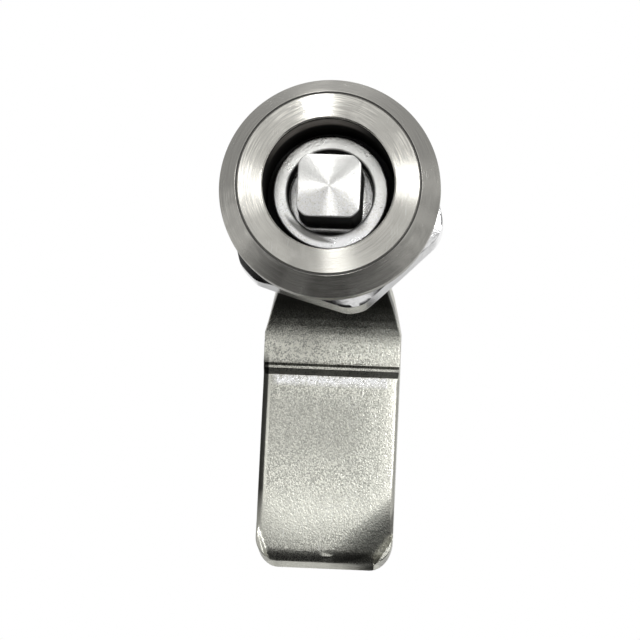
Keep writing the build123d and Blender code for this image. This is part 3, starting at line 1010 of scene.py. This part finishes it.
class LOCK_OT_rotor(Operator):
    """Builds the rotor with its square drive, ring and square tail"""

    bl_idname = "lock.rotor"
    bl_label = "Rotor"

    def execute(self, context):
        size = context.scene.lock_sizes
        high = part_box("rotor")[1]
        ring_low, ring_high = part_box("rotor_seal_ring")
        groove_floor = ring_high.x - (ring_high.y - ring_low.y)
        groove_gap = 0.25 * MM
        groove_start, groove_end = ring_low.y - groove_gap, ring_high.y + groove_gap
        hole_floor = size.journal_end - 4 * MM
        angles = lathe_angles(size.steps, *(np.pi / 4 + np.arange(4) * np.pi / 2))
        drive = squared(size.drive, size.drive_corner, angles)
        tail = squared(size.tail, size.tail_corner, angles)
        corners = [
            (0.0, size.drive_top, 0),
            (drive, size.drive_top, size.drive_edge),
            (drive, size.cup_floor, 0.15 * MM),
            (size.ring_inner, size.cup_floor, 0.3 * MM),
            (size.ring_inner, size.ring_face, 0.3 * MM),
            (size.ring_outer, size.ring_face, size.ring_edge),
            (size.ring_outer, size.cup_floor, 0.15 * MM),
            (size.flange, size.cup_floor, 0.1 * MM),
            (size.flange, size.flange_back, 0.1 * MM),
            (size.journal, size.flange_back, 0),
            (size.journal, groove_start, 0),
            (groove_floor, groove_start, 0),
            (groove_floor, groove_end, 0),
            (size.journal, groove_end, 0),
            (size.journal, size.journal_end, 0),
            (tail, size.journal_end, 0),
            (tail, high.y, 0.2 * MM),
            (size.tapped_hole, high.y, 0.2 * MM),
            (size.tapped_hole, hole_floor, 0),
            (0.0, hole_floor, 0),
        ]
        patches = [turned_skin(corners, angles)]
        rotor = mesh_piece("rotor_tumbled", patches, ROTOR_BODY, "tumbled_steel", "rotor")
        second_finish(rotor, "tumbled_drive", lambda x, y, z: y < size.drive_top + size.drive_edge / 2)
        return {"FINISHED"}


def rounded_path(corners, steps):
    """A path of 2-D points whose corners are arcs, and the places in it where each arc starts and ends."""
    points = [np.array(corner[:2], float) for corner in corners]
    path, arcs = [points[0]], []
    for before, corner, after, (_, _, radius) in zip(points, points[1:], points[2:], corners[1:]):
        into = (corner - before) / np.linalg.norm(corner - before)
        out = (after - corner) / np.linalg.norm(after - corner)
        turn = math.acos(max(-1.0, min(1.0, float(into @ out))))
        side = math.copysign(1.0, into[0] * out[1] - into[1] * out[0])
        normal = np.array([-into[1], into[0]]) * side
        centre = corner - into * radius * math.tan(turn / 2) + normal * radius
        arcs.append((len(path), len(path) + steps - 1))
        for part in np.linspace(0.0, turn, steps):
            path.append(centre - normal * radius * math.cos(part) + into * radius * math.sin(part))
    path.append(points[-1])
    return np.array(path), arcs


def lengths_along(path):
    """Distance of each point of a path from its start."""
    return np.concatenate([[0.0], np.cumsum(np.linalg.norm(np.diff(path, axis=0), axis=1))])


def interpolated(place, along, path):
    """The points of a path at some distances along it."""
    return np.column_stack([np.interp(place, along, column) for column in path.T])


def matched(path, anchors, other, other_anchors):
    """For each point of a path the point of another path that lies as far between the same two anchors."""
    along, other_along = lengths_along(path), lengths_along(other)
    place = np.interp(along, along[list(anchors)], other_along[list(other_anchors)])
    return interpolated(place, other_along, other)


def divided(points, longest, closed=False):
    """A path or a closed outline with more points on its long straight runs."""
    after = np.roll(points, -1, axis=0) if closed else points[1:]
    result = []
    for here, there in zip(points, after):
        parts = max(1, math.ceil(np.linalg.norm(there - here) / longest))
        result.extend(here + (there - here) * part / parts for part in range(parts))
    return np.array(result if closed else [*result, points[-1]])


def inset(points, amount):
    """A closed outline moved inwards by an amount at each point."""
    sharpest = 0.5
    normals = []
    for way in (points - np.roll(points, 1, axis=0), np.roll(points, -1, axis=0) - points):
        way = way / np.linalg.norm(way, axis=1, keepdims=True)
        normals.append(np.column_stack([-way[:, 1], way[:, 0]]))
    middle = normals[0] + normals[1]
    middle /= np.linalg.norm(middle, axis=1, keepdims=True)
    spread = np.clip(np.sum(middle * normals[0], axis=1, keepdims=True), sharpest, 1.0)
    return points + middle / spread * np.asarray(amount).reshape(-1, 1)


def front_relief(x, z, tip_front):
    """How far the front of the pad falls back: crowned towards the tip, flatter beyond the two creases."""
    x, z, tip_front = x / MM, z / MM, tip_front / MM
    half_width, crown_start, sag, lean = 9, -38.5, 4.5, 1.5
    past = np.maximum(crown_start + sag * (x / half_width) ** 2 + lean * (x / half_width) - z, 0.0)
    steady, growing = 0.5, 0.02
    fall = np.radians(steady * past**2 + growing * past**3)
    nose_radius, nose_run = 2.35, 1.65
    run = np.clip(tip_front + nose_run - z, 0.0, nose_run)
    fall += nose_radius - np.sqrt(nose_radius**2 - run**2)
    bump_x, bump_z, bump_wide, bump_high, bump_rise = 0.4, -44.15, 0.8, 0.3, 0.2
    fall -= bump_rise * np.exp(-(((x - bump_x) / bump_wide) ** 4) - ((z - bump_z) / bump_high) ** 2)
    bend_start, bend_slope, bend_soft = 30.8, 0.15, 0.8
    bent = np.maximum((x - z) * math.sqrt(0.5) - bend_start, 0.0)
    fall += bend_slope * (np.hypot(bent, bend_soft) - bend_soft)
    crease_soft, crease_height, flatter, ear_slope = 0.45, 3.0, 0.88, 0.1
    for (x1, z1), (x2, z2) in CORNER_CREASES:
        beyond = ((x - x1) * (z1 - z2) + (z - z1) * (x2 - x1)) / math.hypot(x2 - x1, z2 - z1)
        beyond = beyond * math.copysign(1.0, x1)
        ear = np.clip(beyond / crease_soft, 0.0, 1.0) * (z < z1 + crease_height)
        fall = fall * (1 - flatter * ear) + ear_slope * ear * np.maximum(beyond, 0.0)
    side_start, side_width, side_depth = 7.2, 1.8, 0.16
    side_fall = np.clip((np.abs(x) - side_start) / side_width, 0, 1) ** 2 * side_depth
    side_top, fade_top, fade_length, fade_from, fade_to = -18.6, -19.0, 12, 1.25, 0.4
    fading = np.clip(fade_from - (fade_top - z) / fade_length, fade_to, 1)
    fall += side_fall * np.clip(side_top - z, 0, 1) * fading
    return fall * MM


def band(bm, first, second):
    """Faces between two closed rings of vertices."""
    for i, here in enumerate(first):
        j = (i + 1) % len(first)
        bm.faces.new((here, first[j], second[j], second[i]))


def cut(bm, point, normal, parts=None):
    """Cuts some parts of a mesh, or all of it, along a plane."""
    parts = parts or bm.verts[:] + bm.edges[:] + bm.faces[:]
    bmesh.ops.bisect_plane(bm, geom=parts, dist=WELD, plane_co=point, plane_no=normal)


def cam_side_view(size, low, high):
    """The cam's front and back from the eye to the tip, as matching points of (y, z)."""
    seat, tip = low.y, low.z
    shelf_y = seat + size.crank
    pad_y = shelf_y + size.joggle
    toe_z = -size.crank_start - size.crank
    joggle_z = toe_z - size.shelf
    step_z = joggle_z - size.drop
    pad_z = joggle_z - size.joggle
    tip_front = tip + size.slant
    nose_z = tip_front + size.nose_height
    shift = size.thickness * math.tan(math.radians(22.5))
    eye_back, shelf_back = high.y - size.crank - size.joggle, high.y - size.joggle
    front_steps, back_steps, nose_steps = 7, 15, 14
    # (y, z, rounding): the eye, the crank, the shelf, the joggle with its burr and foot, and the pad
    front, arcs = rounded_path(
        [
            (seat, high.z, 0),
            (seat, -size.crank_start, size.bend + size.thickness),
            (shelf_y, toe_z, size.toe),
            (shelf_y, step_z + 0.28 * MM, 0.3 * MM),
            (shelf_y - size.burr, step_z + 0.06 * MM, 0.06 * MM),
            (shelf_y + 0.34 * MM, step_z - 0.24 * MM, 0.05 * MM),
            (shelf_y + 0.37 * MM, step_z - 0.58 * MM, 0.08 * MM),
            (pad_y - size.foot, step_z - 1.38 * MM, 0.25 * MM),
            (pad_y, step_z - 2.95 * MM, 5.0 * MM),
            (pad_y, nose_z, 0),
        ],
        front_steps,
    )
    # the back, at the same distance behind, without the small forms of the joggle
    back, back_arcs = rounded_path(
        [
            (eye_back, high.z, 0),
            (eye_back, shift - size.crank_start, size.bend),
            (shelf_back, toe_z + shift, size.toe + size.thickness),
            (shelf_back, joggle_z + shift, 0.12 * MM),
            (high.y, pad_z + shift, size.joggle_radius),
            (high.y, nose_z, 0),
        ],
        back_steps,
    )
    anchors = (0, *arcs[0], *arcs[1], arcs[2][0], arcs[7][1], len(front) - 1)
    back_anchors = (0, *back_arcs[0], *back_arcs[1], back_arcs[2][0], back_arcs[3][1], len(back) - 1)
    both = divided(np.hstack([front, matched(front, anchors, back, back_anchors)]), 0.9 * MM)
    nose_start = np.array([pad_y, nose_z, high.y, nose_z])
    nose_end = np.array([pad_y, tip_front, high.y, tip])
    nose = nose_start + (nose_end - nose_start) * np.linspace(0.0, 1.0, nose_steps)[1:, None]
    both = np.vstack([both, nose])
    return both[:, :2], both[:, 2:], pad_z


def cam_loops(size, half_width, reach, end, pad_z):
    """The outline of the flat blank in loops from its front face to its back face, each with its depth."""
    slope, eye_steps, before_neck = math.sqrt(0.5), 40, 0.12
    neck_z = math.sqrt(half_width**2 - size.neck**2)
    sweep = np.linspace(-np.pi / 2, math.atan2(neck_z, size.neck) - before_neck, eye_steps)
    side = [(half_width * math.cos(a), half_width + half_width * math.sin(a)) for a in sweep]
    flare_top = reach(-size.crank_start - size.flare_start * slope)
    flare_end = reach(-size.crank_start - (size.flare_start + size.flare) * slope)
    side += [(size.neck, half_width + neck_z + 0.9 * MM), (size.neck, flare_top), (half_width, flare_end)]
    for a in np.linspace(0.0, np.pi / 2, 13):
        side.append((half_width - size.corner * (1 - math.cos(a)), end - size.corner * (1 - math.sin(a))))
    right = np.array(side)
    left = right[::-1] * np.array([-1.0, 1.0])
    outline = divided(np.vstack([right, left[:-1]]), 0.4 * MM, closed=True)

    # edges: wide along the pad's front, small elsewhere
    along = outline[:, 1]
    on_pad = np.clip((along - reach(pad_z)) / (1.5 * MM), 0, 1)
    on_pad *= np.clip((end - size.corner - along) / (2.5 * MM) + 0.2, 0, 1)
    edge = size.edge + (size.pad_edge - size.edge) * on_pad
    loops = []
    for a in np.linspace(0.0, np.pi / 2, 6):
        loops.append((inset(outline, edge * (1 - math.sin(a))), edge * (1 - math.cos(a))))
    for a in np.linspace(0.0, np.pi / 2, 4):
        depth = size.thickness - size.edge * (1 - math.sin(a))
        loops.append((inset(outline, size.edge * (1 - math.cos(a))), depth))
    return loops


class LOCK_OT_cam(Operator):
    """Builds the cam from a flat blank that is then bent to its side view"""

    bl_idname = "lock.cam"
    bl_label = "Cam"

    def execute(self, context):
        size = context.scene.cam_sizes
        low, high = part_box("cam")
        half_width = high.x
        front, back, pad_z = cam_side_view(size, low, high)
        along = lengths_along(front)

        def reach(z):
            """Distance along the front from the top of the eye to a height."""
            return float(np.interp(-z, -front[:, 1], along))

        hole_steps = 96
        hole_angles = lathe_angles(hole_steps)
        radius = squared(size.hole, size.hole_corner, hole_angles)
        hole = np.column_stack([radius * np.cos(hole_angles), half_width + radius * np.sin(hole_angles)])
        bm = bmesh.new()
        rings = []
        for points, depth in cam_loops(size, half_width, reach, along[-1], pad_z):
            depths = np.broadcast_to(depth, len(points))
            rings.append([bm.verts.new((x, s, d)) for (x, s), d in zip(points, depths)])
        for first, second in zip(rings, rings[1:]):
            band(bm, first, second)
        hole_rings = [[bm.verts.new((x, s, d)) for x, s in hole] for d in (0.0, size.thickness)]
        band(bm, *hole_rings)
        for pair in ((rings[0], hole_rings[0]), (rings[-1], hole_rings[1])):
            edges = []
            for ring in pair:
                edges += [bm.edges.get((ring[i - 1], ring[i])) for i in range(len(ring))]
            bmesh.ops.triangle_fill(bm, use_beauty=True, edges=edges)

        # cut the blank along and across, so that it can bend and take its small forms
        for s in along[1:-1]:
            cut(bm, (0.0, s, 0.0), (0.0, 1.0, 0.0))
        broad, at_bump = np.linspace(-0.9, 0.9, 25) * half_width, np.linspace(-0.7, 1.5, 8) * MM
        corners = np.linspace(6.3, 8.7, 9) * MM
        for x in (*broad, *at_bump, *corners, *-corners):
            cut(bm, (x, 0.0, 0.0), (1.0, 0.0, 0.0))
        near_tip = reach(-38 * MM)
        for (x1, z1), (x2, z2) in CORNER_CREASES:
            start, finish = reach(z1 * MM), reach(z2 * MM)
            parts = [v for v in bm.verts if v.co.y > near_tip]
            parts += [p for p in (*bm.edges, *bm.faces) if any(v.co.y > near_tip for v in p.verts)]
            cut(bm, (x1 * MM, start, 0.0), (finish - start, (x1 - x2) * MM, 0.0), parts)

        # bend it: each point goes between the front and the back of the side view
        x, s, depth = np.array([v.co for v in bm.verts]).T
        depth = depth[:, None] / size.thickness
        at_front, at_back = interpolated(s, along, front), interpolated(s, along, back)
        at_front[:, 0] += front_relief(x, at_front[:, 1], low.z + size.slant)
        for vertex, across, place in zip(bm.verts, x, at_front * (1 - depth) + at_back * depth):
            vertex.co = (across, *place)
        add_piece("cam_bent", finished(bm, "cam_bent"), ROTOR_BODY, "cam_steel", "cam")
        return {"FINISHED"}


class LOCK_OT_fasteners(Operator):
    """Builds the cam screw and dresses the washers and the stop disc"""

    bl_idname = "lock.fasteners"
    bl_label = "Screw and washers"

    def execute(self, context):
        size = context.scene.lock_sizes
        low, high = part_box("cam_screw")
        head_front = high.y - size.screw_height
        angles = lathe_angles(size.steps, *(np.arange(6) * np.pi / 3))
        dimple, rim, face, corner = size.screw_flat * np.array([0.62, 0.7, 0.93, 1.14])
        outline = hexagon(size.screw_flat, corner, angles, 0.0, 0.06 * MM)
        rise = math.tan(math.radians(60))
        crown = [
            (0.0, high.y - 0.15 * MM, 0),
            (dimple, high.y - 0.12 * MM, 0.1 * MM),
            (rim, high.y, 0.1 * MM),
            (face, high.y, 0),
        ]
        for drop in np.linspace(0.05, 0.75, 12) * MM:
            crown.append((soft_least(outline, face + drop * rise, 0.02 * MM), high.y - drop, 0))
        shank = [
            (outline, head_front, 0.1 * MM),
            (size.shank, head_front, 0),
            (size.shank, low.y, 0.4 * MM),
            (0.0, low.y, 0),
        ]
        patches = [turned_skin(crown + shank, angles)]
        mesh_piece("cam_screw_hex", patches, ROTOR_BODY, "plated_steel", "cam_screw")
        dress_node("cam_washer", 0.12 * MM, "plated_steel")
        dress_node("stop_disc", 0.1 * MM, "plated_steel")
        dress_node("spring_washer", 0.12 * MM, "spring_steel")
        return {"FINISHED"}


class LOCK_OT_seals(Operator):
    """Dresses the head's seal and the rotor's seal ring in rubber"""

    bl_idname = "lock.seals"
    bl_label = "Seals"

    def execute(self, context):
        dress_node("head_seal", 0.15 * MM, "seal_rubber")
        dress_node("rotor_seal_ring", 0.05 * MM, "seal_rubber")
        return {"FINISHED"}


LAMP_DISTANCE = 0.6
# name, degrees to the right of the front, degrees up, width and height in metres, brightness in the metal
LAMPS = (
    ("right_lamp", 26.0, 12.0, 0.20, 0.12, 12.0),
    ("top_lamp", -8.0, 36.5, 0.065, 0.20, 18.0),
)
# share of the way from straight down to straight up, and grey there
ROOM_LEVELS = (
    (0.0, 0.03), (0.12, 0.06), (0.25, 0.2), (0.4, 0.33), (0.5, 0.36), (0.75, 0.36), (0.93, 0.45), (1.0, 0.5)
)
# direction, degrees where the patch ends and where it is whole, and its brightness
ROOM_LOBES = (
    ((-0.05, -1.0, -0.12), 29.0, 5.0, 1.1),
    ((0.0, 1.0, 0.05), 35.0, 18.0, 1.0),
)
FLOOR_RADIUS = 6.0
CARD_RADIUS = 0.4
CARD_HEIGHT = 0.015


def grey(value):
    """A grey with full alpha."""
    return (value, value, value, 1.0)


def towards(azimuth, elevation):
    """The direction of a place so far to the right of the front and so far up, in radians."""
    level = math.cos(elevation)
    return Vector((math.sin(azimuth) * level, -math.cos(azimuth) * level, math.sin(elevation)))


def in_scene(name, data):
    """An object in the scene."""
    made = bpy.data.objects.new(name, data)
    bpy.context.scene.collection.objects.link(made)
    return made


def area_light(name, azimuth, elevation, wide, high, radiance):
    """A soft rectangular light that faces the lock from so many degrees to the right and up."""
    light = bpy.data.lights.new(name, "AREA")
    light.shape = "RECTANGLE"
    light.size = wide
    light.size_y = high
    light.energy = math.pi * wide * high * radiance
    lamp = in_scene(name, light)
    lamp.location = LAMP_DISTANCE * towards(math.radians(azimuth), math.radians(elevation))
    lamp.rotation_euler = (-lamp.location).to_track_quat("-Z", "Y").to_euler()
    lamp.visible_camera = False


def seen_by_camera(tree, share_seen, first, second, output):
    """Gives the output the first shader, and for the camera a share of the second one."""
    pick = tree.nodes.new("ShaderNodeMixShader")
    camera_ray = tree.nodes.new("ShaderNodeLightPath").outputs["Is Camera Ray"]
    tree.links.new(calc(tree, "MULTIPLY", share_seen, camera_ray), pick.inputs["Fac"])
    tree.links.new(first, pick.inputs[1])
    tree.links.new(second, pick.inputs[2])
    tree.links.new(pick.outputs[0], output.inputs["Surface"])


def studio_world(backdrop):
    """White for the camera and behind the lock, and a soft grey room for the metal to mirror."""
    world = bpy.data.worlds.new("studio")
    bpy.context.scene.world = world
    world.use_nodes = True
    tree = world.node_tree
    tree.nodes.clear()
    seen, room = [tree.nodes.new("ShaderNodeBackground") for _ in range(2)]
    seen.inputs["Color"].default_value = grey(backdrop)
    direction = tree.nodes.new("ShaderNodeTexCoord").outputs["Generated"]
    rise = calc(tree, "ADD", calc(tree, "MULTIPLY", split_place(tree, direction)["Z"], 0.5), 0.5)
    ramp = tree.nodes.new("ShaderNodeValToRGB")
    tree.links.new(rise, ramp.inputs[0])
    stops = ramp.color_ramp.elements
    for place, level in ROOM_LEVELS:
        stop = stops.new(place) if 0 < place < 1 else stops[int(place)]
        stop.color = grey(level)
    shade_now = ramp.outputs["Color"]
    for way, wide, narrow, brightness in ROOM_LOBES:
        dot = tree.nodes.new("ShaderNodeVectorMath")
        dot.operation = "DOT_PRODUCT"
        tree.links.new(direction, dot.inputs[0])
        dot.inputs[1].default_value = Vector(way).normalized()
        limits = [math.cos(math.radians(degrees)) for degrees in (wide, narrow)]
        shade_now = mixed(tree, ranged(tree, dot.outputs["Value"], *limits), shade_now, grey(brightness))
    tree.links.new(shade_now, room.inputs["Color"])
    output = tree.nodes.new("ShaderNodeOutputWorld")
    seen_by_camera(tree, 1.0, room.outputs[0], seen.outputs[0], output)


def stage_disc(name, radius, segments, height, look):
    """A round sheet of the stage at a height."""
    bm = bmesh.new()
    bmesh.ops.create_circle(bm, cap_ends=True, segments=segments, radius=radius)
    mesh = bpy.data.meshes.new(name)
    bm.to_mesh(mesh)
    bm.free()
    mesh.materials.append(look.material)
    disc = in_scene(name, mesh)
    disc.location.z = height
    return disc


def black_card(height):
    """A black card under the lock, seen only in the metal as a dark reflection below it and pale behind the
    lock, whose edge fades out.
    """
    look = Look("black_card", metallic=0.0)
    look.give(Roughness=0.9, Specular_IOR_Level=0.0)
    x, y, z = split_place(look.tree)
    look.tint((0.02, 0.02, 0.02), (ranged(look.tree, y, 0.035, 0.08), (0.9, 0.9, 0.9)))
    middle = distance(look.tree, calc(look.tree, "MULTIPLY", x, 1.6), y)
    look.give(Alpha=ranged(look.tree, middle, CARD_RADIUS * 0.35, CARD_RADIUS, 1.0, 0.0))
    card = stage_disc("black_card", CARD_RADIUS, 64, height, look)
    for label in ("visible_camera", "visible_diffuse", "visible_shadow", "visible_transmission"):
        setattr(card, label, False)


def pale_floor(height, backdrop):
    """A round pale floor that keeps the lock's shadow and fades into the white backdrop."""
    look = Look("pale_floor", metallic=0.0)
    look.give(Base_Color=grey(0.9), Roughness=0.9, Specular_IOR_Level=0.1)
    white = look.tree.nodes.new("ShaderNodeEmission")
    white.inputs["Color"].default_value = grey(backdrop)
    x, y, z = split_place(look.tree)
    far = ranged(look.tree, distance(look.tree, x, y), 0.06, 0.3, 0.6, 1.0)
    output = look.tree.nodes["Material Output"]
    seen_by_camera(look.tree, far, look.shader.outputs[0], white.outputs[0], output)
    stage_disc("floor", FLOOR_RADIUS, 96, height, look)


def aim_camera(studio):
    """The camera at the photograph's place, turned so that the head's face lands on its pixel."""
    azimuth, roll = studio.camera_azimuth, studio.camera_roll
    out = towards(azimuth, studio.camera_elevation)
    level = Vector((math.cos(azimuth), math.sin(azimuth), 0.0))
    upright = out.cross(level)
    right = math.cos(roll) * level + math.sin(roll) * upright
    up = math.cos(roll) * upright - math.sin(roll) * level
    focal = studio.scale * studio.camera_distance
    across, down = [(PICTURE_PIXELS / 2 - pixel) / focal for pixel in (studio.face_x, studio.face_y)]
    back = -(right * across - up * down - out).normalized()
    right = (right - right.dot(back) * back).normalized()
    camera = in_scene("camera", bpy.data.cameras.new("camera"))
    camera.location = Vector((0.0, cad_low.y, 0.0)) + studio.camera_distance * out
    camera.rotation_euler = Matrix((right, back.cross(right), back)).transposed().to_euler()
    camera.data.lens = camera.data.sensor_width * focal / PICTURE_PIXELS
    camera.data.clip_start = 0.01
    camera.data.clip_end = 50.0
    bpy.context.scene.camera = camera


class LOCK_OT_studio(Operator):
    """Sets up the floor, backdrop, lights and camera"""

    bl_idname = "lock.studio"
    bl_label = "Studio"

    def execute(self, context):
        studio = context.scene.lock_studio
        studio_world(studio.backdrop)
        pale_floor(studio.floor, studio.backdrop)
        aim_camera(studio)
        black_card(studio.floor + CARD_HEIGHT)
        for lamp in LAMPS:
            area_light(*lamp)
        context.scene.view_settings.view_transform = "Standard"
        return {"FINISHED"}


class LOCK_PT_panel(Panel):
    """Lists the lock's pieces and settings"""

    bl_label = "Cam Lock"
    bl_idname = "LOCK_PT_panel"
    bl_space_type = "VIEW_3D"
    bl_region_type = "UI"
    bl_category = "Cam Lock"

    def draw(self, context):
        for operator in OPERATORS:
            self.layout.operator(operator.bl_idname)
        for name in SETTINGS:
            group = getattr(context.scene, name)
            box = self.layout.box()
            for label in group.__annotations__:
                box.prop(group, label)


SETTINGS = {
    "lock_sizes": LockSizes,
    "cam_sizes": CamSizes,
    "lock_finishes": LockFinishes,
    "lock_studio": StudioSettings,
}
OPERATORS = (
    LOCK_OT_housing,
    LOCK_OT_nut,
    LOCK_OT_rotor,
    LOCK_OT_cam,
    LOCK_OT_fasteners,
    LOCK_OT_seals,
    LOCK_OT_studio,
)
CLASSES = (*SETTINGS.values(), *OPERATORS, LOCK_PT_panel)


def register():
    """Registers the classes and puts their settings on the scene."""
    for cls in CLASSES:
        bpy.utils.register_class(cls)
    for name, cls in SETTINGS.items():
        setattr(bpy.types.Scene, name, PointerProperty(type=cls))


def unregister():
    """Takes the settings and classes away again."""
    for name in SETTINGS:
        delattr(bpy.types.Scene, name)
    for cls in reversed(CLASSES):
        bpy.utils.unregister_class(cls)


def main():
    """Builds every piece and the studio."""
    register()
    bpy.ops.lock.housing()
    bpy.ops.lock.nut()
    bpy.ops.lock.rotor()
    bpy.ops.lock.cam()
    bpy.ops.lock.fasteners()
    bpy.ops.lock.seals()
    bpy.ops.lock.studio()


if __name__ == "__main__":
    main()
